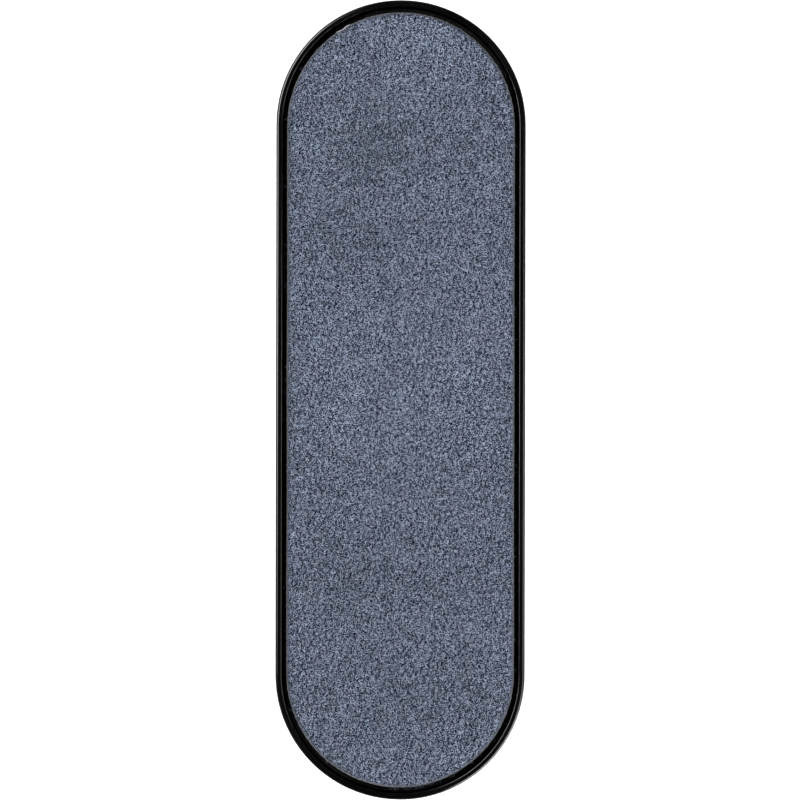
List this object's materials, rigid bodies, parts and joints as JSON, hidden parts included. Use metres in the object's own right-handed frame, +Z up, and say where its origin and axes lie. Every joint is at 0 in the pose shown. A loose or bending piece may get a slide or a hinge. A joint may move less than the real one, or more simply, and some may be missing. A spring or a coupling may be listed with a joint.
{
  "type": "chalkboard eraser",
  "caption": "Long round-ended board eraser: a hollow gloss-black grip with a thin rim round a soft blue-grey pile pad on foam, carried by a plate that lifts out.",
  "frame": {"origin": "middle of the grip's flat back, on the surface that the eraser lies on", "axes": "+Z up and out of the wiping face, +Y along the length, +X across the width"},
  "size_m": [0.05, 0.1602, 0.03],
  "materials": {
    "gloss_black": "polished black moulding",
    "plate_black": "black moulding",
    "adhesive": "translucent film",
    "foam": "open-cell foam",
    "backing": "knitted backing",
    "pile": "short curly pile"
  },
  "bodies": {
    "housing": {"housing": "gloss_black"},
    "cartridge": {"pad_plate": "plate_black", "plate_adhesive": "adhesive", "foam_core": "foam"},
    "wiping_pad": {"pad_adhesive": "adhesive", "pad_backing": "backing", "pad_pile": "pile"}
  },
  "joints": [
    {"name": "cartridge_release", "type": "slide", "parent": "housing", "child": "cartridge", "axis": [0, 0, 1], "range_m": [0, 0.018]},
    {"name": "pad_press", "type": "slide", "parent": "cartridge", "child": "wiping_pad", "axis": [0, 0, 1], "range_m": [-0.0015, 0], "stiffness_N_per_m": 25000, "deforming": ["foam_core"]}
  ]
}
